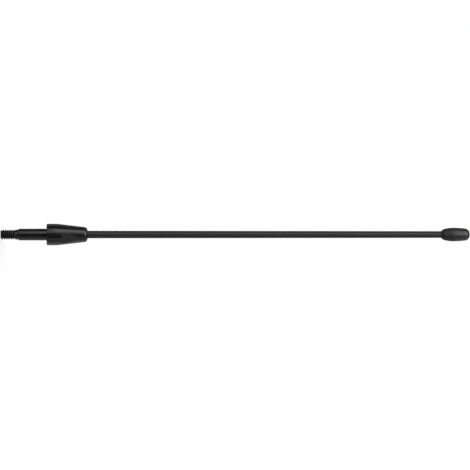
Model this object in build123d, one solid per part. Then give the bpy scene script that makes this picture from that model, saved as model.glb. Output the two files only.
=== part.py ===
from build123d import *
import os

# Car mast aerial, upright. Z = 0 is the collar's underside, which seats on the car.
# The stud hangs below it and the mast rises along +Z. All sizes in millimetres.

# Threaded stud, one turned piece: what hangs below the seat
thread_d = 4.83
thread_length = 7.3
thread_end_chamfer = 0.7
neck_top_d = 4.98
neck_length = 1.35
shoulder_length = 0.55
shank_d = 5.75
shank_length = 13.35

# Threaded stud: the anchor that the collar is moulded round
flange_d = 6.4
flange_thickness = 1.2
hex_across_flats = 5.4
hex_length = 4.0
groove_d = 4.0
groove_length = 1.2
head_d = 5.2
head_length = 2.4
head_chamfer = 0.3
socket_depth = 7.0

# Base collar
collar_d = 10.5
collar_foot_height = 5.0
collar_length = 19.85
collar_nose_d = 7.05
foot_chamfer = 0.25
waist_blend_radius = 6.0
nose_radius = 1.65
mouth_chamfer = 0.15
spanner_across_flats = 8.0
spanner_shoulder_height = 7.4
spanner_corner_radius = 0.5

# Mast: the jacket tapers evenly from the collar's nose to the tip cap's lip
core_d = 2.2
mast_d_at_collar = 3.66
mast_d_at_tip = 3.26
mast_exposed_length = 172.45

# Tip cap, an olive with its widest place below the middle
tip_length = 13.75
tip_d = 6.62
tip_widest_height = 6.0
tip_shoulder_d = 5.5
tip_shoulder_height = 1.5
tip_end_d = 5.2
tip_end_radius = 2.4
tip_lip_width = 0.12
tip_bore_depth = 9.5

# Clearance all round between pieces that are moulded, pressed or glued together
fit_gap = 0.02

# Heights worked out from the sizes above
shank_bottom = -shank_length
neck_top = shank_bottom - shoulder_length
thread_top = neck_top - neck_length
stud_bottom = thread_top - thread_length
hex_top = flange_thickness + hex_length
groove_top = hex_top + groove_length
head_top = groove_top + head_length
socket_floor = head_top - socket_depth
lip_height = collar_length + mast_exposed_length
bore_end = lip_height + tip_bore_depth
tip_top = lip_height + tip_length
mast_end = bore_end - fit_gap


def mast_radius(height):
    """Outer radius of the jacket at a height."""
    share = (height - collar_length) / mast_exposed_length
    return (mast_d_at_collar + (mast_d_at_tip - mast_d_at_collar) * share) / 2


def bar(diameter, low, high):
    """A round bar on the mast's axis between two heights."""
    upright = Cylinder(diameter / 2, high - low, align=(Align.CENTER, Align.CENTER, Align.MIN))
    return Pos(0, 0, low) * upright


def mast_bar(grow, low, high):
    """A bar that follows the mast's taper between two heights, thicker by grow all round."""
    ends = [Pos(0, 0, height) * Circle(mast_radius(height) + grow) for height in (low, high)]
    return sweep(ends, path=Line((0, 0, low), (0, 0, high)), multisection=True)


def anchor(grow):
    """The stud's end in the collar, thicker by grow: flange, hexagon against turning, groove and head."""
    hexagon = RegularPolygon(hex_across_flats / 2 + grow, 6, major_radius=False)
    prism = Pos(0, 0, flange_thickness) * extrude(hexagon, hex_length + grow)
    flange = bar(flange_d + 2 * grow, 0, flange_thickness + grow)
    groove = bar(groove_d + 2 * grow, hex_top, groove_top)
    head = bar(head_d + 2 * grow, groove_top - grow, head_top)
    rim = head.edges().filter_by(GeomType.CIRCLE).sort_by(Axis.Z)[-1]
    return flange + prism + groove + chamfer(rim, head_chamfer)


def threaded_stud():
    """Turned stud: bar at the thread's crests, flaring neck, shoulder, shank, and anchor with its socket."""
    below_seat = make_face(
        Polyline(
            (0, stud_bottom),
            (thread_d / 2 - thread_end_chamfer, stud_bottom),
            (thread_d / 2, stud_bottom + thread_end_chamfer),
            (thread_d / 2, thread_top),
            (neck_top_d / 2, neck_top),
            (shank_d / 2, shank_bottom),
            (shank_d / 2, 0),
            (0, 0),
            close=True,
        )
    )
    turned = revolve(Plane.XZ * below_seat, Axis.Z) + anchor(0)
    return turned - bar(core_d + 2 * fit_gap, socket_floor, head_top)


def collar_blank():
    """The collar as a solid of revolution: chamfered foot, soft waist, cone and rounded nose."""
    nose_wall = (collar_nose_d - mast_d_at_collar) / 2 - fit_gap
    outside = FilletPolyline(
        (0, 0),
        (collar_d / 2 - foot_chamfer, 0),
        (collar_d / 2, foot_chamfer),
        (collar_d / 2, collar_foot_height),
        (collar_nose_d / 2, collar_length),
        (0, collar_length),
        radius=(0, 0, waist_blend_radius, min(nose_radius, nose_wall)),
    )
    return revolve(Plane.XZ * make_face(outside + Line(outside @ 1, outside @ 0)), Axis.Z)


def spanner_cut():
    """What a spanner flat takes off the cone's front: a shoulder with a rounded inner corner, then the flat."""
    block = Box(
        collar_d,
        collar_d,
        collar_length,
        align=(Align.CENTER, Align.MAX, Align.MIN),
    )
    inner_corner = block.edges().filter_by(Axis.X).sort_by(Axis.Z)[:2].sort_by(Axis.Y)[-1]
    flat = Pos(0, -spanner_across_flats / 2, spanner_shoulder_height)
    return flat * fillet(inner_corner, spanner_corner_radius)


def mouth_cut():
    """What the nose loses where the mast enters: a small countersink round the bore."""
    bore_radius = mast_radius(collar_length) + fit_gap
    countersink = Cone(
        bore_radius,
        bore_radius + mouth_chamfer,
        mouth_chamfer,
        align=(Align.CENTER, Align.CENTER, Align.MAX),
    )
    return Pos(0, 0, collar_length) * countersink


def base_collar():
    """Moulded collar: blank with two spanner flats on its cone, hollow for the anchor, and bore for the mast."""
    front = spanner_cut()
    body = collar_blank() - front - Rot(0, 0, 180) * front
    bore = mast_bar(fit_gap, head_top, collar_length)
    return body - anchor(fit_gap) - bore - mouth_cut()


def whip_core():
    """Steel core from the floor of the stud's socket to the end of the tip's bore."""
    return bar(core_d, socket_floor, mast_end)


def mast_jacket():
    """Tapered tube round the core, from the stud's head through the collar into the tip."""
    return mast_bar(0, head_top, mast_end) - bar(core_d + 2 * fit_gap, head_top, mast_end)


def tip_cap():
    """Moulded olive: lip, shoulder, widest place and rounded end, with a blind bore for the mast."""
    widest = (tip_d / 2, lip_height + tip_widest_height)
    shoulder = (tip_shoulder_d / 2, lip_height + tip_shoulder_height)
    lip_edge = (mast_radius(lip_height) + fit_gap + tip_lip_width, lip_height)
    lower_side = TangentArc(widest, shoulder, tangent=(0, -1))
    lip = TangentArc(shoulder, lip_edge, tangent=lower_side % 1)
    upper_side = TangentArc(widest, (tip_end_d / 2, tip_top), tangent=(0, 1))
    ends = Polyline(upper_side @ 1, (0, tip_top), (0, lip_height), lip_edge)
    outline = make_face(lower_side + lip + upper_side + ends)
    end_corner = outline.vertices().sort_by_distance(upper_side @ 1)[0]
    olive = revolve(Plane.XZ * fillet(end_corner, tip_end_radius), Axis.Z)
    return olive - mast_bar(fit_gap, lip_height, bore_end)


pieces = {
    "threaded_stud": threaded_stud(),
    "base_collar": base_collar(),
    "whip_core": whip_core(),
    "mast_jacket": mast_jacket(),
    "tip_cap": tip_cap(),
}

os.makedirs("parts", exist_ok=True)
for name, piece in pieces.items():
    export_step(piece, f"parts/{name}.step")
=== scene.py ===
"""Car mast aerial: the dressed pieces, the studio and the camera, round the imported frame.

The aerial's shapes are drawn in millimetres on the mast's own axes, with +Z up along the mast and Z = 0 at
the collar's underside. A piece is turned to metres when its mesh is made. The studio is in metres.
"""
import logging
import math
from abc import ABC, abstractmethod
from collections.abc import Mapping
from dataclasses import dataclass
from enum import Enum
from typing import Any, ClassVar

import bmesh
import bpy
from mathutils import Matrix, Vector


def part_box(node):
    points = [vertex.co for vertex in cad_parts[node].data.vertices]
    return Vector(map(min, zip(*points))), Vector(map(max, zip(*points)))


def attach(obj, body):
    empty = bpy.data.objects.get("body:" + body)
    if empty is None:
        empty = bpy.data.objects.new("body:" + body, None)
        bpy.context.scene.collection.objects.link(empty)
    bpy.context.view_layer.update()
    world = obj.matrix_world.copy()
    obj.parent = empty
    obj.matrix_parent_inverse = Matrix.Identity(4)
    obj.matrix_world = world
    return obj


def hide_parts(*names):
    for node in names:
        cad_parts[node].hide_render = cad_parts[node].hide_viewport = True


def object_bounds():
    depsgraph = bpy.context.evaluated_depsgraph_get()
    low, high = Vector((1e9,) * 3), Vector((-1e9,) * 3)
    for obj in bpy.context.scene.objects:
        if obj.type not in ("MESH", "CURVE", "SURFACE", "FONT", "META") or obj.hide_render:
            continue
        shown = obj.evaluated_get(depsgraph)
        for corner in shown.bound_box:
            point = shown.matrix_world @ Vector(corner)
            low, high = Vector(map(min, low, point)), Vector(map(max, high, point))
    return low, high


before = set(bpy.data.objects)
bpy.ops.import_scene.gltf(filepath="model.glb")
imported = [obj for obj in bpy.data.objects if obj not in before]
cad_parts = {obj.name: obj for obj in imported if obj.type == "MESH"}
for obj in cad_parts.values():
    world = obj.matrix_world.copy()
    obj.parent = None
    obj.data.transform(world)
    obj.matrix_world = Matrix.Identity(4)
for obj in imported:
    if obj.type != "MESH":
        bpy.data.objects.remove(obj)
CAD_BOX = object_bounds()

LOG = logging.getLogger("mast_aerial")
BODY = "root"

# One millimetre in metres
MM = 0.001
# Points nearer than this, in millimetres, are one point
TOUCH = 1e-4
# Steps of a full turn on the lathe
LATHE_STEPS = 96
# Edges that bend less than this are shaded smooth
SMOOTH_BELOW = math.radians(30)
# What one side of a hexagon spans, seen from its middle
HEXAGON_SIDE = math.tau / 6
# The direction from the stud to the tip
ALONG_MAST = Vector((0.0, 0.0, 1.0)).freeze()
# A stretch that leaves coordinates as they are
EVEN = (1.0, 1.0, 1.0)
# What a noise is on average
NOISE_MIDDLE = 0.5
# Sockets of a Mix node for colours, by number because its kinds share their names
MIX_FACTOR, MIX_FIRST, MIX_SECOND, MIX_COLOUR = 0, 6, 7, 2

Point = tuple[float, float] | Vector
Stretch = tuple[float, float, float]
Colour = tuple[float, float, float, float]
Faces = list[bmesh.types.BMFace]


def lowest(node: str) -> float:
    """Height of a node's lowest point, in millimetres."""
    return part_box(node)[0].z / MM


def highest(node: str) -> float:
    """Height of a node's highest point, in millimetres."""
    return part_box(node)[1].z / MM


def smooth_step(share: "Signal | float") -> "Signal | float":
    """A share from 0 to 1, bent so that it leaves the one and reaches the other gently."""
    return share * share * (3 - 2 * share)


def grey(tone: float) -> Colour:
    """An opaque grey."""
    return (tone, tone, tone, 1.0)


def sealed(bm: bmesh.types.BMesh) -> bmesh.types.BMesh:
    """Merge points that touch and turn the faces outwards.

    Args:
        bm: The mesh to close.

    Returns:
        The same mesh.
    """
    bmesh.ops.remove_doubles(bm, verts=bm.verts, dist=TOUCH)
    bmesh.ops.recalc_face_normals(bm, faces=bm.faces)
    return bm


class Outline:
    """A line drawn beside the mast's axis with a pen, which a lathe then turns round the axis."""

    def __init__(self, start: Point) -> None:
        """Put the pen down.

        Args:
            start: Distance from the axis and height of the first point.
        """
        radius, height = start
        self.bm = bmesh.new()
        self.start = self.bm.verts.new((radius, 0.0, height))
        self.pen = self.start

    @property
    def here(self) -> Vector:
        """Where the pen is: its distance from the axis and its height."""
        return self.pen.co.xz

    def line(self, *points: Point) -> "Outline":
        """Draw straight runs.

        Args:
            points: Where each run ends, in turn.

        Returns:
            The outline, so that calls chain.
        """
        for radius, height in points:
            self.pen = bmesh.ops.extrude_vert_indiv(self.bm, verts=[self.pen])["verts"][0]
            self.pen.co = (radius, 0.0, height)
        return self

    def arc(self, centre: Point, end: Point, steps: int) -> "Outline":
        """Draw a round run about a centre, the short way.

        Args:
            centre: The middle of the circle.
            end: Where the run ends.
            steps: How many straight steps the run has.

        Returns:
            The outline.
        """
        middle = Vector(centre)
        swept = bmesh.ops.spin(
            self.bm,
            geom=[self.pen],
            cent=(middle.x, 0.0, middle.y),
            axis=(0.0, -1.0, 0.0),
            angle=(Vector(end) - middle).angle_signed(self.here - middle),
            steps=steps,
        )
        self.pen = next(part for part in swept["geom_last"] if isinstance(part, bmesh.types.BMVert))
        return self

    def corner(self, at: Point, towards: Point, radius: float, steps: int) -> "Outline":
        """Draw a straight run up to a corner and round the corner off.

        Args:
            at: Where the corner would be if it were sharp.
            towards: Where the line goes from there.
            radius: The rounding's radius.
            steps: How many straight steps the rounding has.

        Returns:
            The outline.
        """
        sharp = Vector(at)
        back = (self.here - sharp).normalized()
        ahead = (Vector(towards) - sharp).normalized()
        half = back.angle(ahead) / 2
        setback = radius / math.tan(half)
        centre = sharp + (back + ahead).normalized() * radius / math.sin(half)
        return self.line(sharp + back * setback).arc(centre, sharp + ahead * setback, steps)

    def close(self) -> "Outline":
        """Join the pen to the first point."""
        self.bm.edges.new((self.pen, self.start))
        return self

    def turned(self) -> bmesh.types.BMesh:
        """Turn the outline once round the axis.

        Returns:
            The turned mesh, with its seam and poles closed and its faces outwards.
        """
        bmesh.ops.spin(
            self.bm,
            geom=[*self.bm.verts, *self.bm.edges],
            cent=(0.0, 0.0, 0.0),
            axis=ALONG_MAST,
            angle=math.tau,
            steps=LATHE_STEPS,
            use_merge=True,
        )
        return sealed(self.bm)


class ShaderTree:
    """The nodes of a material or of the world, added one at a time by one method."""

    def __init__(self, owner: bpy.types.Material | bpy.types.World) -> None:
        """Empty the owner's tree.

        Args:
            owner: The material or world that the nodes belong to.
        """
        owner.use_nodes = True
        self.nodes = owner.node_tree.nodes
        self.links = owner.node_tree.links
        self.nodes.clear()

    def add(
        self,
        kind: str,
        settings: Mapping[str, Any] | None = None,
        sockets: Mapping[str | int, Any] | None = None,
        output: str | int = 0,
    ) -> "Signal":
        """Add a node.

        Args:
            kind: The node's type.
            settings: What is set first, such as an operation.
            sockets: A value or a signal for each input socket that is set.
            output: The output socket that goes on.

        Returns:
            The node's output as a signal, which holds no socket if the node ends the tree.
        """
        node = self.nodes.new(kind)
        for name, value in (settings or {}).items():
            setattr(node, name, value)
        for name, value in (sockets or {}).items():
            if isinstance(value, Signal):
                self.links.new(value.socket, node.inputs[name])
            else:
                node.inputs[name].default_value = value
        return Signal(self, node.outputs[output] if node.outputs else None)

    def noise(self, place: "Signal", size: float, detail: float) -> "Signal":
        """A noise on some coordinates, with features of a size in millimetres and finer layers on them."""
        scale = 1.0 / (size * MM)
        return self.add("ShaderNodeTexNoise", None, {"Vector": place, "Scale": scale, "Detail": detail})

    def place(self, stretch: Stretch) -> "Signal":
        """The object's own coordinates, each axis times its stretch, so that a pattern can be drawn out."""
        own = self.add("ShaderNodeTexCoord", None, None, "Object")
        return self.add("ShaderNodeMapping", None, {"Vector": own, "Scale": stretch})


class Signal:
    """An output socket that stands in Python expressions, where each operator adds its node."""

    def __init__(self, tree: ShaderTree, socket: bpy.types.NodeSocket | None) -> None:
        """Hold an output socket of a tree."""
        self.tree = tree
        self.socket = socket

    def math(self, operation: str, left: "Signal | float", right: "Signal | float") -> "Signal":
        """The result of one operation on two values."""
        return self.tree.add("ShaderNodeMath", {"operation": operation}, {0: left, 1: right})

    def __add__(self, other: "Signal | float") -> "Signal":
        """Signal plus a value."""
        return self.math("ADD", self, other)

    def __radd__(self, other: float) -> "Signal":
        """A value plus the signal."""
        return self.math("ADD", other, self)

    def __sub__(self, other: "Signal | float") -> "Signal":
        """Signal less a value."""
        return self.math("SUBTRACT", self, other)

    def __rsub__(self, other: float) -> "Signal":
        """A value less the signal."""
        return self.math("SUBTRACT", other, self)

    def __mul__(self, other: "Signal | float") -> "Signal":
        """Signal times a value."""
        return self.math("MULTIPLY", self, other)

    def __rmul__(self, other: float) -> "Signal":
        """A value times the signal."""
        return self.math("MULTIPLY", other, self)

    def at_most(self, limit: "Signal | float") -> "Signal":
        """The lesser of the signal and a limit."""
        return self.math("MINIMUM", self, limit)

    def at_least(self, limit: "Signal | float") -> "Signal":
        """The greater of the signal and a limit."""
        return self.math("MAXIMUM", self, limit)

    def exponential(self) -> "Signal":
        """The number e to the power of the signal."""
        return self.math("EXPONENT", self, 0.0)

    def eased(self) -> "Signal":
        """The signal kept from 0 to 1, with both ends reached gently."""
        return smooth_step(self.at_most(1.0).at_least(0.0))


@dataclass(frozen=True, kw_only=True)
class Finish(ABC):
    """A surface that one of the record's material slots stands for.

    Tones are greys of the surface's own colour. Relief is in millimetres, and a grain is the size of
    its features in millimetres.
    """

    slot: str
    tone: float
    tone_spread: float
    roughness: float
    roughness_spread: float
    relief: float
    grain: float
    metallic: float = 0.0
    blotch_grains: float = 6.0

    @abstractmethod
    def height(self, tree: ShaderTree) -> Signal:
        """The relief's height over the surface, from 0 to 1."""

    def blotches(self, tree: ShaderTree) -> Signal:
        """How far the tone and the gloss stray over the surface, as a noise."""
        return tree.noise(tree.place(EVEN), self.blotch_grains * self.grain, detail=3.0)

    def gloss_loss(self, tree: ShaderTree) -> Signal | float:
        """What is added to the roughness in places."""
        return 0.0

    def painted_shade(self, tree: ShaderTree) -> Signal | float:
        """How much painted shade pulls the surface towards its darkest tone in places."""
        return 0.0

    @staticmethod
    def share_below(tree: ShaderTree, all_at: float, none_at: float) -> Signal:
        """1 up to one height on the mast and 0 from a second one, with a gentle fall between them."""
        up = tree.add("ShaderNodeSeparateXYZ", None, {0: tree.place(EVEN)}, "Z")
        return ((none_at * MM - up) * (1 / ((none_at - all_at) * MM))).eased()

    def material(self) -> bpy.types.Material:
        """Make the material.

        Returns:
            A material named for its slot.
        """
        made = bpy.data.materials.new(self.slot)
        tree = ShaderTree(made)
        blotches = self.blotches(tree)
        colour = tree.add(
            "ShaderNodeMix",
            {"data_type": "RGBA"},
            {
                # Painted shade, where a finish has it, pulls the tone towards its darkest
                MIX_FACTOR: blotches - self.painted_shade(tree),
                MIX_FIRST: grey(self.tone - self.tone_spread),
                MIX_SECOND: grey(self.tone + self.tone_spread),
            },
            MIX_COLOUR,
        )
        strayed = (blotches - NOISE_MIDDLE) * (2 * self.roughness_spread)
        roughness = strayed + self.roughness + self.gloss_loss(tree)
        normal = tree.add(
            "ShaderNodeBump",
            None,
            {"Strength": 1.0, "Distance": self.relief * MM, "Height": self.height(tree)},
        )
        surface = tree.add(
            "ShaderNodeBsdfPrincipled",
            None,
            {"Base Color": colour, "Roughness": roughness, "Metallic": self.metallic, "Normal": normal},
        )
        tree.add("ShaderNodeOutputMaterial", None, {"Surface": surface})
        return made


@dataclass(frozen=True, kw_only=True)
class TurnedPlating(Finish):
    """Plating over the fine rings that the lathe left, duller on the thread and neck than on the shank."""

    dull_up_to: float
    bright_from: float
    thread_gloss_loss: float
    ring_share: float = 0.7
    ring_stretch: Stretch = (0.0, 0.0, 1.0)

    def gloss_loss(self, tree: ShaderTree) -> Signal:
        """Roughness that the thread and the neck have on top."""
        return self.share_below(tree, self.dull_up_to, self.bright_from) * self.thread_gloss_loss

    def height(self, tree: ShaderTree) -> Signal:
        """Rings round the axis, with a little grain.

        Args:
            tree: The material's nodes.

        Returns:
            The relief's height.
        """
        rings = tree.noise(tree.place(self.ring_stretch), self.grain, detail=2.0)
        grain = tree.noise(tree.place(EVEN), self.grain, detail=2.0)
        return rings * self.ring_share + grain * (1 - self.ring_share)


@dataclass(frozen=True, kw_only=True)
class MouldedPlastic(Finish):
    """Plastic with the fine, even grain of its mould."""

    grain_share: float = 0.35
    wave_grains: float = 12.0

    def height(self, tree: ShaderTree) -> Signal:
        """Fine grain over a slow waviness.

        Args:
            tree: The material's nodes.

        Returns:
            The relief's height.
        """
        place = tree.place(EVEN)
        grain = tree.noise(place, self.grain, detail=2.0)
        waves = tree.noise(place, self.wave_grains * self.grain, detail=1.0)
        return grain * self.grain_share + waves * (1 - self.grain_share)


@dataclass(frozen=True, kw_only=True)
class DrawnSurface(Finish):
    """A surface drawn through a die, with streaks along the mast."""

    streak_share: float = 0.6
    streak_stretch: Stretch = (1.0, 1.0, 0.02)
    grain_stretch: Stretch = (1.0, 1.0, 0.3)

    def height(self, tree: ShaderTree) -> Signal:
        """Long streaks with a short grain.

        Args:
            tree: The material's nodes.

        Returns:
            The relief's height.
        """
        streaks = tree.noise(tree.place(self.streak_stretch), self.grain, detail=2.0)
        grain = tree.noise(tree.place(self.grain_stretch), self.grain, detail=3.0)
        return streaks * self.streak_share + grain * (1 - self.streak_share)


@dataclass(frozen=True, kw_only=True)
class MouldedRubber(Finish):
    """Rubber that is matt and grainy by its lip and smoother towards its end, with painted shade that
    darkens it by the lip.
    """

    rough_up_to: float
    smooth_from: float
    lip_gloss_loss: float
    # Painted shade: how far the tip's tone is pulled darker by its lip
    lip_painted_shade: float
    smooth_relief: float = 0.1

    def lip_share(self, tree: ShaderTree) -> Signal:
        """1 on the rough part by the lip, falling to 0 where the smooth part starts."""
        return self.share_below(tree, self.rough_up_to, self.smooth_from)

    def gloss_loss(self, tree: ShaderTree) -> Signal:
        """Roughness that the part by the lip has on top."""
        return self.lip_share(tree) * self.lip_gloss_loss

    def painted_shade(self, tree: ShaderTree) -> Signal:
        """Painted shade that darkens the part by the lip."""
        return self.lip_share(tree) * self.lip_painted_shade

    def height(self, tree: ShaderTree) -> Signal:
        """Grain that is deeper by the lip."""
        grain = tree.noise(tree.place(EVEN), self.grain, detail=3.0)
        return grain * (self.lip_share(tree) * (1 - self.smooth_relief) + self.smooth_relief)


@dataclass(frozen=True)
class MastTaper:
    """The jacket's outside, which tapers evenly from the collar's nose to the tip's lip, and its core."""

    at_collar: float = 3.66 / 2
    at_tip: float = 3.26 / 2
    core: float = 2.2 / 2
    fit_gap: float = 0.02

    def radius(self, height: float) -> float:
        """The jacket's radius at a height."""
        collar_top, lip = highest("base_collar"), lowest("tip_cap")
        return self.at_collar + (self.at_tip - self.at_collar) * (height - collar_top) / (lip - collar_top)

    def bore(self, height: float) -> float:
        """The radius, at a height, of a bore that the jacket sits in."""
        return self.radius(height) + self.fit_gap

    @property
    def core_bore(self) -> float:
        """The radius of a bore that the core sits in."""
        return self.core + self.fit_gap


@dataclass(frozen=True)
class Anchor:
    """The stud's end inside the collar: flange, hexagon, groove and head, each with its radius."""

    flange_radius: float = 6.4 / 2
    flange_top: float = 1.2
    hexagon_apothem: float = 5.4 / 2
    hexagon_top: float = 5.2
    groove_radius: float = 4.0 / 2
    groove_top: float = 6.4
    head_radius: float = 5.2 / 2
    head_chamfer: float = 0.3

    def corner_radius(self, grow: float) -> float:
        """Distance from the axis to the corners of the hexagon, which is wider by grow all round."""
        return (self.hexagon_apothem + grow) / math.cos(HEXAGON_SIDE / 2)

    def outline(self, grow: float) -> list[Point]:
        """The anchor's outline from its seat up to its head's rim.

        Args:
            grow: How much wider it is all round than the anchor, for the hollow that holds it.

        Returns:
            The corners in turn. The hexagon is drawn as round, at the radius of its corners.
        """
        head_top = highest("threaded_stud")
        corner = self.corner_radius(grow)
        return [
            (self.flange_radius + grow, 0.0),
            (self.flange_radius + grow, self.flange_top + grow),
            (corner, self.flange_top + grow),
            (corner, self.hexagon_top + grow),
            (self.groove_radius + grow, self.hexagon_top + grow),
            (self.groove_radius + grow, self.groove_top - grow),
            (self.head_radius + grow, self.groove_top - grow),
            (self.head_radius + grow, head_top - self.head_chamfer),
            (self.head_radius + grow - self.head_chamfer, head_top),
        ]

    def press(self, bm: bmesh.types.BMesh, grow: float) -> None:
        """Press the round place of the hexagon into shape, with a corner on +X.

        Args:
            bm: A mesh turned from the outline.
            grow: As in the outline.
        """
        apothem = self.hexagon_apothem + grow
        corner = self.corner_radius(grow)
        low = self.flange_top + grow - TOUCH
        high = self.hexagon_top + grow + TOUCH
        for vert in bm.verts:
            if low < vert.co.z < high and abs(vert.co.xy.length - corner) < TOUCH:
                from_middle = math.atan2(vert.co.y, vert.co.x) % HEXAGON_SIDE - HEXAGON_SIDE / 2
                vert.co.xy *= apothem / math.cos(from_middle) / corner


@dataclass
class Piece(ABC):
    """A piece of the aerial that stands for one node of the frame."""

    name: ClassVar[str]
    node: ClassVar[str]

    taper: MastTaper

    @abstractmethod
    def shape(self) -> bmesh.types.BMesh:
        """The piece's closed mesh, in millimetres."""

    def make(self, finish: Finish) -> None:
        """Build the piece, dress it and set it on the frame.

        Args:
            finish: The surface that it gets.
        """
        bm = self.shape()
        bmesh.ops.scale(bm, vec=(MM, MM, MM), verts=bm.verts)
        for face in bm.faces:
            face.smooth = True
        for edge in bm.edges:
            edge.smooth = edge.smooth and edge.calc_face_angle(0.0) < SMOOTH_BELOW
        mesh = bpy.data.meshes.new(self.name)
        bm.to_mesh(mesh)
        bm.free()
        mesh.materials.append(finish.material())
        piece = bpy.data.objects.new(self.name, mesh)
        bpy.context.scene.collection.objects.link(piece)
        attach(piece, BODY)
        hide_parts(self.node)
        LOG.info("%s: %d faces for %s", self.name, len(mesh.polygons), self.node)


@dataclass
class ThreadedStud(Piece):
    """The turned stud: thread, neck, shoulder and shank below the seat, anchor and socket above it."""

    name: ClassVar[str] = "stud_with_thread"
    node: ClassVar[str] = "threaded_stud"

    anchor: Anchor
    thread_radius: float = 4.83 / 2
    thread_depth: float = 0.62
    pitch: float = 1.058
    flank_angle: float = math.radians(30)
    flank_cuts: int = 3
    crest_flat: float = 0.26
    crest_rounding: float = 0.05
    crest_steps: int = 2
    crest_bearing: float = math.radians(154)
    crest_above_end: float = 1.5
    end_chamfer: float = 0.7
    run_out: float = 0.45
    thread_top: float = -15.05
    neck_top: float = -13.9
    neck_top_radius: float = 4.98 / 2
    neck_seam: float = 0.05
    shank_bottom: float = -13.35
    shank_radius: float = 5.75 / 2
    edge_rounding: float = 0.12
    edge_steps: int = 4
    dull_edge: float = 0.15
    steps_to_a_turn: int = 72
    spare_turns: int = 3

    @property
    def flank(self) -> float:
        """How far a flank of the thread goes along the axis."""
        return self.thread_depth * math.tan(self.flank_angle)

    def shape(self) -> bmesh.types.BMesh:
        """Join the thread to the turned body, below its neck.

        Returns:
            The closed stud.
        """
        bm = self.body()
        thread = self.thread()
        carrier = bpy.data.meshes.new(self.name + "_thread")
        thread.to_mesh(carrier)
        thread.free()
        bm.from_mesh(carrier)
        bpy.data.meshes.remove(carrier)
        bmesh.ops.bridge_loops(bm, edges=[edge for edge in bm.edges if edge.is_boundary])
        return sealed(bm)

    def body(self) -> bmesh.types.BMesh:
        """Turn everything above the thread.

        Returns:
            The turned body, open where the thread joins it.
        """
        head_top, floor = highest(self.node), lowest("whip_core")
        bore = self.taper.core_bore
        neck = (self.neck_top_radius, self.neck_top)
        shoulder = (self.shank_radius, self.shank_bottom)
        seat = (self.shank_radius, 0.0)
        outline = Outline((self.thread_radius, self.thread_top + self.neck_seam)).line(neck)
        outline.corner(shoulder, seat, self.edge_rounding, self.edge_steps).line(seat)
        outline.line(*self.anchor.outline(0.0)).line((bore, head_top), (bore, floor), (0.0, floor))
        bm = outline.turned()
        self.anchor.press(bm, 0.0)
        return bm

    def tooth(self, start: float) -> bmesh.types.BMesh:
        """Draw one pitch of the thread, from root to root.

        Args:
            start: The height at which it starts.

        Returns:
            The outline as a chain of edges.
        """
        root = self.thread_radius - self.thread_depth
        root_flat = self.pitch - self.crest_flat - 2 * self.flank
        rise = (self.thread_radius, start + root_flat + self.flank)
        fall = (self.thread_radius, start + root_flat + self.flank + self.crest_flat)
        end = (root, start + self.pitch)
        outline = Outline((root, start)).line((root, start + root_flat))
        for crest_edge, after in ((rise, fall), (fall, end)):
            outline.corner(crest_edge, after, self.crest_rounding, self.crest_steps)
        outline.line(end)
        long_runs = [edge for edge in outline.bm.edges if edge.calc_length() > self.crest_flat]
        bmesh.ops.subdivide_edges(outline.bm, edges=long_runs, cuts=self.flank_cuts)
        return outline.bm

    def thread(self) -> bmesh.types.BMesh:
        """Wind the right-handed thread as one skin, with its end face, chamfer and run-out.

        Returns:
            The skin, open at its top.
        """
        end = lowest(self.node)
        crest_in_tooth = self.pitch - self.flank - self.crest_flat / 2
        lead_in = self.pitch * self.crest_bearing / math.tau
        turns = math.ceil((self.thread_top - end) / self.pitch) + 2 * self.spare_turns
        start = end + self.crest_above_end - crest_in_tooth - lead_in - self.spare_turns * self.pitch
        bm = self.tooth(start)
        bmesh.ops.spin(
            bm,
            geom=[*bm.verts, *bm.edges],
            cent=(0.0, 0.0, 0.0),
            axis=ALONG_MAST,
            dvec=ALONG_MAST * (self.pitch / self.steps_to_a_turn),
            angle=math.tau * turns,
            steps=self.steps_to_a_turn * turns,
        )
        sealed(bm)
        for height, outwards in ((end, -ALONG_MAST), (self.thread_top, ALONG_MAST)):
            bmesh.ops.bisect_plane(
                bm,
                geom=[*bm.verts, *bm.edges, *bm.faces],
                dist=TOUCH,
                plane_co=ALONG_MAST * height,
                plane_no=outwards,
                clear_outer=True,
            )
        self.finish_ends(bm, end)
        open_edges = [edge for edge in bm.edges if edge.is_boundary]
        rim = [edge for edge in open_edges if max(v.co.z for v in edge.verts) < end + TOUCH]
        bmesh.ops.edgeloop_fill(bm, edges=rim)
        return bm

    def finish_ends(self, bm: bmesh.types.BMesh, end: float) -> None:
        """Turn the thread's end to a chamfer, and let its groove run out at the neck.

        Args:
            bm: The thread's skin.
            end: The height of its end face.
        """
        for vert in bm.verts:
            radius = vert.co.xy.length
            left = min(max((self.thread_top - vert.co.z) / self.run_out, 0.0), 1.0)
            depth = (self.thread_radius - radius) * smooth_step(left)
            chamfer = self.thread_radius - self.end_chamfer + vert.co.z - end
            vert.co.xy *= min(self.thread_radius - depth, chamfer) / radius


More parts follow.
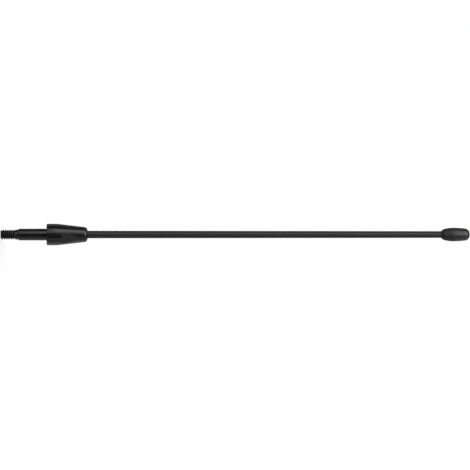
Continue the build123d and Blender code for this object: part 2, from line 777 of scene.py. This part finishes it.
@dataclass
class BaseCollar(Piece):
    """The moulded collar: foot, soft waist, cone with two spanner flats, and rounded nose."""

    name: ClassVar[str] = "collar_with_flats"
    node: ClassVar[str] = "base_collar"

    anchor: Anchor
    foot_radius: float = 10.5 / 2
    foot_height: float = 5.0
    foot_rounding: float = 0.25
    foot_steps: int = 5
    waist_rounding: float = 6.0
    waist_steps: int = 6
    nose_radius: float = 7.05 / 2
    nose_rounding: float = 1.65
    nose_steps: int = 14
    mouth_chamfer: float = 0.15
    flat_distance: float = 8.0 / 2
    shoulder_height: float = 7.4
    shoulder_rounding: float = 0.5
    shoulder_steps: int = 8

    def shape(self) -> bmesh.types.BMesh:
        """Turn the collar with its hollow and its bore, and cut both spanner flats.

        Returns:
            The closed collar.
        """
        top, anchor_top = highest(self.node), highest("threaded_stud")
        hollow = self.anchor.outline(self.taper.fit_gap)
        foot = (self.foot_radius, 0.0)
        waist = (self.foot_radius, self.foot_height)
        nose = (self.nose_radius, top)
        mouth = (self.taper.bore(top) + self.mouth_chamfer, top)
        outline = Outline(hollow[0]).corner(foot, waist, self.foot_rounding, self.foot_steps)
        outline.corner(waist, nose, self.waist_rounding, self.waist_steps)
        outline.corner(nose, mouth, self.nose_rounding, self.nose_steps)
        outline.line(mouth, (self.taper.bore(top), top - self.mouth_chamfer))
        outline.line((self.taper.bore(anchor_top), anchor_top), *reversed(hollow[1:])).close()
        bm = outline.turned()
        self.anchor.press(bm, self.taper.fit_gap)
        for side in (-1.0, 1.0):
            self.cut_flat(bm, side)
        return sealed(bm)

    def flat_steps(self) -> list[Point]:
        """Draw the flat's section from its shoulder up.

        Returns:
            Distances from the axis with their heights.
        """
        out = self.flat_distance + self.shoulder_rounding
        up = self.shoulder_height + self.shoulder_rounding
        turns = [step / self.shoulder_steps * math.tau / 4 for step in range(self.shoulder_steps + 1)]
        rounding = [
            (out - self.shoulder_rounding * math.sin(turn), up - self.shoulder_rounding * math.cos(turn))
            for turn in turns
        ]
        return [*rounding, (self.flat_distance, highest(self.node))]

    def cut_flat(self, bm: bmesh.types.BMesh, side: float) -> None:
        """Cut one spanner flat, from its shoulder up to where it runs out on the cone.

        Args:
            bm: The turned collar.
            side: -1 for the flat on -Y and 1 for the flat on +Y.
        """
        steps = self.flat_steps()
        for _, height in steps[:-1]:
            self.split(bm, self.outer_wall(bm, side), ALONG_MAST * height, ALONG_MAST)
        for (near, low), (far, high) in zip(steps, steps[1:]):
            outwards = Vector((0.0, side * (high - low), near - far)).normalized()
            on_plane = Vector((0.0, side * near, low))
            self.split(bm, self.between(self.outer_wall(bm, side), low, high), on_plane, outwards)
            wall = self.between(self.outer_wall(bm, side), low, high)
            gone = [face for face in wall if (face.calc_center_median() - on_plane).dot(outwards) > TOUCH]
            bmesh.ops.delete(bm, geom=gone, context="FACES")
        rim = [edge for edge in bm.edges if edge.is_boundary]
        chords = [self.chord(bm, side * distance, height) for distance, height in steps[:-1]]
        bmesh.ops.edgenet_fill(bm, edges=rim + chords)
        for edge in (*rim, chords[0], chords[-1]):
            edge.smooth = False

    def outer_wall(self, bm: bmesh.types.BMesh, side: float) -> Faces:
        """Find the faces on one side that lie outside the hollow or reach out from it.

        Args:
            bm: The collar.
            side: As for the flat.

        Returns:
            The faces.
        """
        inside = self.anchor.flange_radius + 2 * self.taper.fit_gap
        return [
            face
            for face in bm.faces
            if face.calc_center_median().y * side > 0 and max(v.co.xy.length for v in face.verts) > inside
        ]

    @staticmethod
    def between(faces: Faces, low: float, high: float) -> Faces:
        """Those of some faces that lie between two heights."""
        return [face for face in faces if all(low - TOUCH < v.co.z < high + TOUCH for v in face.verts)]

    @staticmethod
    def split(bm: bmesh.types.BMesh, faces: Faces, point: Vector, across: Vector) -> None:
        """Split some faces along the plane that holds a point and has a normal, and keep both sides."""
        edges = dict.fromkeys(edge for face in faces for edge in face.edges)
        bmesh.ops.bisect_plane(bm, geom=[*faces, *edges], dist=TOUCH, plane_co=point, plane_no=across)

    @staticmethod
    def chord(bm: bmesh.types.BMesh, y: float, height: float) -> bmesh.types.BMEdge:
        """A new edge across an open cut, at a distance from the middle and a height."""
        place = Vector((y, height))
        return bm.edges.new(v for v in bm.verts if v.is_boundary and (v.co.yz - place).length < TOUCH)


@dataclass
class MastJacket(Piece):
    """The slim tapered tube between collar and tip."""

    name: ClassVar[str] = "tapered_jacket"
    node: ClassVar[str] = "mast_jacket"

    end_chamfer: float = 0.1
    rings: int = 48

    def shape(self) -> bmesh.types.BMesh:
        """Turn the tube, with chamfered ends and even rings along it.

        Returns:
            The closed tube.
        """
        low, high = lowest(self.node), highest(self.node)
        foot, head = self.taper.radius(low), self.taper.radius(high)
        bore, cut = self.taper.core_bore, self.end_chamfer
        outline = Outline((bore, low)).line((foot - cut, low), (foot, low + cut))
        outline.line((head, high - cut), (head - cut, high), (bore, high)).close()
        sides = [edge for edge in outline.bm.edges if edge.calc_length() > (high - low) / 2]
        bmesh.ops.subdivide_edges(outline.bm, edges=sides, cuts=self.rings)
        return outline.turned()


@dataclass
class TipCap(Piece):
    """The moulded olive on the free end, with a blind bore."""

    name: ClassVar[str] = "olive_tip"
    node: ClassVar[str] = "tip_cap"

    widest_radius: float = 6.62 / 2
    widest_above_lip: float = 6.0
    shoulder_radius: float = 5.5 / 2
    shoulder_above_lip: float = 1.5
    end_radius: float = 5.2 / 2
    end_rounding: float = 2.4
    end_steps: int = 14
    lip_width: float = 0.12
    lip_steps: int = 10
    lower_side_steps: int = 12
    upper_side_steps: int = 16
    bore_depth: float = 9.5
    rough_above_lip: float = 4.9
    smooth_above_lip: float = 7.7

    def shape(self) -> bmesh.types.BMesh:
        """Turn lip, shoulder, widest place and rounded end as tangent arcs, and the bore.

        Returns:
            The closed olive.
        """
        lip, top = lowest(self.node), highest(self.node)
        bore, bore_end = self.taper.bore(lip), lip + self.bore_depth
        lip_edge = Vector((bore + self.lip_width, lip))
        widest = Vector((self.widest_radius, lip + self.widest_above_lip))
        shoulder = Vector((self.shoulder_radius, lip + self.shoulder_above_lip))
        inwards = Vector((-1.0, 0.0))
        below = self.middle_of_arc(widest, shoulder, inwards)
        curl = self.middle_of_arc(shoulder, lip_edge, (below - shoulder).normalized())
        above = self.middle_of_arc(widest, Vector((self.end_radius, top)), inwards)
        side_radius = (widest - above).length
        rise = top - self.end_rounding - above.y
        inset = math.sqrt((side_radius - self.end_rounding) ** 2 - rise**2)
        round_end = Vector((above.x + inset, top - self.end_rounding))
        meets = round_end + (round_end - above).normalized() * self.end_rounding
        outline = Outline((0.0, bore_end)).line((self.taper.bore(bore_end), bore_end), (bore, lip), lip_edge)
        outline.arc(curl, shoulder, self.lip_steps).arc(below, widest, self.lower_side_steps)
        outline.arc(above, meets, self.upper_side_steps)
        outline.arc(round_end, (round_end.x, top), self.end_steps).line((0.0, top))
        return outline.turned()

    @staticmethod
    def middle_of_arc(start: Vector, end: Vector, inwards: Vector) -> Vector:
        """Centre of the arc from one point to another, in a direction from the first."""
        chord = end - start
        return start + inwards * (chord.length_squared / (2 * inwards.dot(chord)))


@dataclass(frozen=True)
class Viewpoint:
    """Where the camera stands and how the picture lies.

    Azimuth 0 looks along +Y. The mast lies across the picture, with its tip to the right.
    """

    azimuth: float = math.radians(-26)
    distance: float = 2.5
    picture_width: float = 0.2291
    aim_height: float = 0.09173
    axis_above_middle: float = 0.00022
    sensor: float = 36.0
    nearest_seen: float = 0.05
    farthest_seen: float = 50.0

    @property
    def towards(self) -> Vector:
        """From the mast to the camera."""
        return Vector((math.sin(self.azimuth), -math.cos(self.azimuth), 0.0))

    @property
    def picture_up(self) -> Vector:
        """What is up in the picture."""
        return Vector((-math.cos(self.azimuth), -math.sin(self.azimuth), 0.0))

    def around(self, turn: float) -> Vector:
        """A direction square to the mast, in degrees from the camera towards the picture's lower edge."""
        angle = math.radians(turn)
        return self.towards * math.cos(angle) - self.picture_up * math.sin(angle)

    def make_camera(self) -> None:
        """Make the camera and give it to the scene."""
        data = bpy.data.cameras.new("camera")
        data.sensor_width = self.sensor
        data.lens = self.distance * self.sensor / self.picture_width
        data.clip_start = self.nearest_seen
        data.clip_end = self.farthest_seen
        camera = bpy.data.objects.new("camera", data)
        turn = Matrix((ALONG_MAST, self.picture_up, self.towards)).transposed().to_4x4()
        aim = ALONG_MAST * self.aim_height - self.picture_up * self.axis_above_middle
        camera.matrix_world = Matrix.Translation(aim + self.towards * self.distance) @ turn
        bpy.context.scene.collection.objects.link(camera)
        bpy.context.scene.camera = camera
        LOG.info("camera: %.0f mm lens at %.2f m", data.lens, self.distance)


@dataclass(frozen=True, kw_only=True)
class Softbox:
    """A soft lamp that faces a place on the mast, with its length along the mast.

    Its turn is in degrees round the mast from the camera, positive towards the picture's lower edge, and
    its lift is in degrees from there towards the tip. Its half width is in degrees as the mast sees it.
    """

    name: str
    turn: float
    lift: float = 0.0
    half_width: float
    distance: float
    height: float
    length: float
    radiance: float

    def make(self, viewpoint: Viewpoint) -> None:
        """Make the lamp.

        Args:
            viewpoint: What its turn is counted from.
        """
        light = bpy.data.lights.new(self.name, "AREA")
        light.shape = "RECTANGLE"
        light.size = 2 * self.distance * math.tan(math.radians(self.half_width))
        light.size_y = self.length
        light.energy = self.radiance * math.pi * light.size * light.size_y
        lamp = bpy.data.objects.new(self.name, light)
        lift = math.radians(self.lift)
        away = viewpoint.around(self.turn) * math.cos(lift) + ALONG_MAST * math.sin(lift)
        lamp.location = away * self.distance + ALONG_MAST * self.height
        lamp.rotation_mode = "QUATERNION"
        lamp.rotation_quaternion = (-away).to_track_quat("-Z", "Y")
        bpy.context.scene.collection.objects.link(lamp)


class Shade(Enum):
    """How much light a card beside the set throws back into a glossy surface."""

    BLACK = 0.0
    DARK = 0.26
    GREY = 0.37
    PALE = 0.75


@dataclass(frozen=True, kw_only=True)
class SideCard:
    """A card beside the mast, from one bearing to another, in degrees from the camera as for a softbox."""

    name: str
    shade: Shade
    first: float
    last: float


@dataclass(frozen=True, kw_only=True)
class EndCard:
    """A square card past one end of the mast: 1 for the tip's end and -1 for the stud's."""

    name: str
    shade: Shade
    end: float


@dataclass
class Studio:
    """The pale floor, the white surroundings, the softboxes and the cards round the set."""

    viewpoint: Viewpoint
    floor_radius: float = 4.0
    floor_tone: float = 0.5
    floor_white: float = 1.02
    surround_light: float = 0.6
    lamp_light: float = 0.58
    lamp_reach: float = 0.73
    card_distance: float = 1.4
    card_length: float = 3.0
    end_card_distance: float = 1.7
    softboxes: tuple[Softbox, ...] = (
        Softbox(
            name="main_softbox", turn=-46.0, half_width=16.0,
            distance=1.2, height=0.46, length=1.08, radiance=1.25,
        ),
        Softbox(
            name="tip_softbox", turn=-5.0, half_width=14.0,
            distance=0.5, height=0.46, length=0.50, radiance=3.2,
        ),
        Softbox(
            name="side_softbox", turn=-27.0, lift=58.0, half_width=18.0,
            distance=1.2, height=0.11, length=0.55, radiance=5.0,
        ),
        Softbox(
            name="low_side_softbox", turn=25.0, lift=52.0, half_width=35.0,
            distance=1.2, height=0.11, length=0.35, radiance=1.3,
        ),
    )
    side_cards: tuple[SideCard, ...] = (
        SideCard(name="card_by_camera", shade=Shade.BLACK, first=-17.0, last=46.0),
        SideCard(name="card_above", shade=Shade.BLACK, first=-108.0, last=-66.0),
        SideCard(name="card_below", shade=Shade.GREY, first=50.0, last=90.0),
        SideCard(name="card_behind_below", shade=Shade.PALE, first=90.0, last=150.0),
        SideCard(name="card_behind_above", shade=Shade.DARK, first=150.0, last=248.0),
    )
    end_cards: tuple[EndCard, ...] = (
        EndCard(name="card_past_tip", shade=Shade.BLACK, end=1.0),
        EndCard(name="card_past_stud", shade=Shade.DARK, end=-1.0),
    )

    def build(self) -> None:
        """Set the stage."""
        bpy.context.scene.view_settings.view_transform = "Standard"
        self.make_surroundings()
        self.make_floor()
        for softbox in self.softboxes:
            softbox.make(self.viewpoint)
        for side_card in self.side_cards:
            self.make_side_card(side_card)
        for end_card in self.end_cards:
            self.make_end_card(end_card)
        cards = len(self.side_cards) + len(self.end_cards)
        LOG.info("studio: floor, %d softboxes and %d cards", len(self.softboxes), cards)

    @staticmethod
    def seen(tree: ShaderTree) -> Signal:
        """Tell the rays that look at a surface from those that only carry its light.

        Args:
            tree: The nodes of the surface.

        Returns:
            1 for rays from the camera, from gloss and through glass, and 0 for the rest.
        """
        camera = tree.add("ShaderNodeLightPath", None, None, "Is Camera Ray")
        gloss = tree.add("ShaderNodeLightPath", None, None, "Is Glossy Ray")
        glass = tree.add("ShaderNodeLightPath", None, None, "Is Transmission Ray")
        return camera.at_least(gloss).at_least(glass)

    def make_surroundings(self) -> None:
        """Make a world that is white to look at and lights the set evenly."""
        world = bpy.data.worlds.new("surroundings")
        bpy.context.scene.world = world
        tree = ShaderTree(world)
        strength = self.seen(tree) * (1.0 - self.surround_light) + self.surround_light
        white = tree.add("ShaderNodeBackground", None, {"Color": grey(1.0), "Strength": strength})
        tree.add("ShaderNodeOutputWorld", None, {"Surface": white})

    def make_floor(self) -> None:
        """Make the floor under the stud's end.

        It glows as much as its light falls short of white, so that it is white to look at but for the shadow
        on it. The lamps' share of that light dies away with the distance from the mast.
        """
        bm = bmesh.new()
        bmesh.ops.create_circle(bm, cap_ends=True, segments=LATHE_STEPS, radius=self.floor_radius)
        bmesh.ops.translate(bm, vec=ALONG_MAST * CAD_BOX[0].z, verts=bm.verts)
        material = bpy.data.materials.new("pale_floor")
        tree = ShaderTree(material)
        matt = tree.add("ShaderNodeBsdfDiffuse", None, {"Color": grey(self.floor_tone)})
        place = tree.place(EVEN)
        distance = tree.add("ShaderNodeVectorMath", {"operation": "LENGTH"}, {0: place}, "Value")
        light = (distance * (-1 / self.lamp_reach)).exponential() * self.lamp_light + self.surround_light
        lacks = self.floor_white - light * self.floor_tone
        glow = tree.add("ShaderNodeEmission", None, {"Strength": self.seen(tree) * lacks})
        both = tree.add("ShaderNodeAddShader", None, {0: matt, 1: glow})
        tree.add("ShaderNodeOutputMaterial", None, {"Surface": both})
        floor = self.set_on_stage("floor", bm, material)
        floor.visible_glossy = False

    def make_side_card(self, card: SideCard) -> None:
        """Make a card beside the mast.

        Args:
            card: Its name, shade and bearings.
        """
        width = 2 * self.card_distance * math.tan(math.radians((card.last - card.first) / 2))
        away = self.viewpoint.around((card.first + card.last) / 2) * self.card_distance
        self.make_card(card.name, card.shade, away, width)

    def make_end_card(self, card: EndCard) -> None:
        """Make a square card past one end of the mast."""
        away = ALONG_MAST * (card.end * self.end_card_distance)
        self.make_card(card.name, card.shade, away, self.card_length)

    def make_card(self, name: str, shade: Shade, away: Vector, width: float) -> None:
        """Make a card that only gloss sees, facing the mast.

        Args:
            name: The card's name.
            shade: What it throws back.
            away: Where its middle lies, from the place that the camera looks at.
            width: Its width.
        """
        bm = bmesh.new()
        bmesh.ops.create_grid(bm, x_segments=1, y_segments=1, size=self.card_length / 2)
        bmesh.ops.scale(bm, vec=(width / self.card_length, 1.0, 1.0), verts=bm.verts)
        bmesh.ops.rotate(bm, matrix=(-away).to_track_quat("Z", "Y").to_matrix(), verts=bm.verts)
        bmesh.ops.translate(bm, vec=away + ALONG_MAST * self.viewpoint.aim_height, verts=bm.verts)
        material = bpy.data.materials.new(name)
        tree = ShaderTree(material)
        glow = tree.add("ShaderNodeEmission", None, {"Strength": shade.value})
        tree.add("ShaderNodeOutputMaterial", None, {"Surface": glow})
        obj = self.set_on_stage(name, bm, material)
        obj.visible_camera = obj.visible_diffuse = obj.visible_shadow = False

    @staticmethod
    def set_on_stage(name: str, bm: bmesh.types.BMesh, material: bpy.types.Material) -> bpy.types.Object:
        """Turn a mesh into an object that isn't part of the aerial.

        Args:
            name: The object's name.
            bm: Its mesh, in metres and in place.
            material: Its surface.

        Returns:
            The object.
        """
        mesh = bpy.data.meshes.new(name)
        bm.to_mesh(mesh)
        bm.free()
        mesh.materials.append(material)
        obj = bpy.data.objects.new(name, mesh)
        bpy.context.scene.collection.objects.link(obj)
        return obj


def dress_core(finish: Finish) -> None:
    """Give the whip's core, which keeps its own node, its surface.

    Args:
        finish: The surface.
    """
    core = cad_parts["whip_core"]
    core.data.materials.clear()
    core.data.materials.append(finish.material())
    LOG.info("whip_core: dressed as %s", finish.slot)


def main() -> None:
    """Build the aerial's pieces from the screwed end up, then the studio and the camera."""
    logging.basicConfig(level=logging.INFO, format="%(name)s %(message)s")
    taper = MastTaper()
    anchor = Anchor()
    stud = ThreadedStud(taper, anchor)
    collar = BaseCollar(taper, anchor)
    jacket = MastJacket(taper)
    tip = TipCap(taper)
    lip = lowest(tip.node)
    plating = TurnedPlating(
        slot="stud_black_plating", tone=0.006, tone_spread=0.002, roughness=0.22, roughness_spread=0.03,
        relief=0.004, grain=0.25,
        dull_up_to=stud.neck_top, bright_from=stud.shank_bottom + stud.dull_edge, thread_gloss_loss=0.10,
    )
    moulding = MouldedPlastic(
        slot="collar_black_moulding", tone=0.008, tone_spread=0.002, roughness=0.20, roughness_spread=0.04,
        relief=0.010, grain=0.30,
    )
    satin = DrawnSurface(
        slot="jacket_black_satin", tone=0.008, tone_spread=0.002, roughness=0.50, roughness_spread=0.06,
        relief=0.012, grain=0.20,
    )
    rubber = MouldedRubber(
        slot="tip_black_rubber", tone=0.014, tone_spread=0.010, roughness=0.33, roughness_spread=0.06,
        relief=0.07, grain=0.75,
        rough_up_to=lip + tip.rough_above_lip, smooth_from=lip + tip.smooth_above_lip,
        # Painted shade darkens the tip by its lip
        lip_gloss_loss=0.26, lip_painted_shade=0.45,
    )
    steel = DrawnSurface(
        slot="core_steel", tone=0.55, tone_spread=0.05, roughness=0.30, roughness_spread=0.06,
        relief=0.010, grain=0.15, metallic=1.0,
    )
    stud.make(plating)
    collar.make(moulding)
    jacket.make(satin)
    tip.make(rubber)
    dress_core(steel)
    viewpoint = Viewpoint()
    Studio(viewpoint).build()
    viewpoint.make_camera()


if __name__ == "__main__":
    main()
